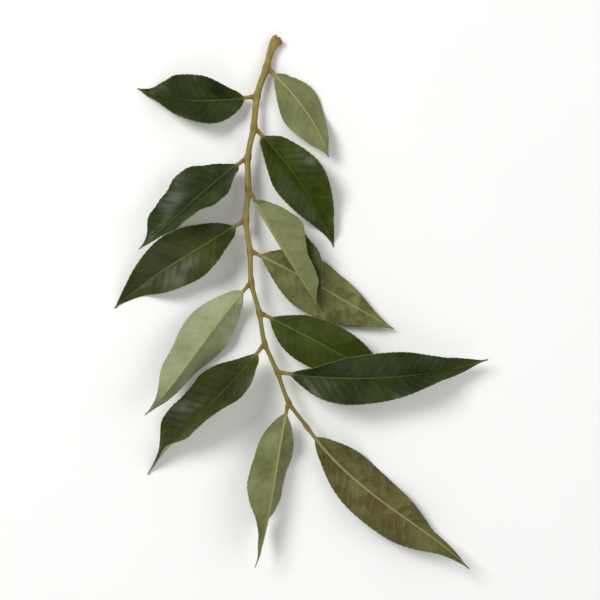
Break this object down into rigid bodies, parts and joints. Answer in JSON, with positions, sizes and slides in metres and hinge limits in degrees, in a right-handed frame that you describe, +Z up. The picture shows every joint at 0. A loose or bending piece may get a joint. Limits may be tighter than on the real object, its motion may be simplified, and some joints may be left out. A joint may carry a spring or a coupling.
{
  "type": "curry leaf sprig",
  "caption": "Picked curry leaf sprig lying flat: a curved slender stalk with a torn heel, alternate lance-shaped leaflets with waved edges, and an end leaflet.",
  "frame": {"origin": "on the surface the sprig lies on, under the middle of its bounding box", "axes": "+Z up from the surface; +Y from the end leaflet towards the torn heel; +X towards the side that the stalk bends to"},
  "size_m": [0.1014, 0.1434, 0.0144],
  "materials": {
    "leaflet_upper": "semi-gloss, dark olive green upper face with a paler midrib",
    "leaflet_underside": "matte, pale olive underside with a raised midrib and faint veins",
    "rachis": "satin yellow-olive stalk, brown at the leaflet joints and orange-brown at the torn heel"
  },
  "bodies": {
    "root": {"rachis": "rachis", "leaflet_01": "leaflet_underside", "leaflet_02": "leaflet_upper", "leaflet_03": "leaflet_upper", "leaflet_04": "leaflet_upper", "leaflet_05": "leaflet_underside", "leaflet_06": "leaflet_upper", "leaflet_07": "leaflet_underside", "leaflet_08": "leaflet_underside", "leaflet_09": "leaflet_upper", "leaflet_10": "leaflet_upper", "leaflet_11": "leaflet_upper", "leaflet_12": "leaflet_underside", "leaflet_end": "leaflet_underside"}
  },
  "joints": []
}
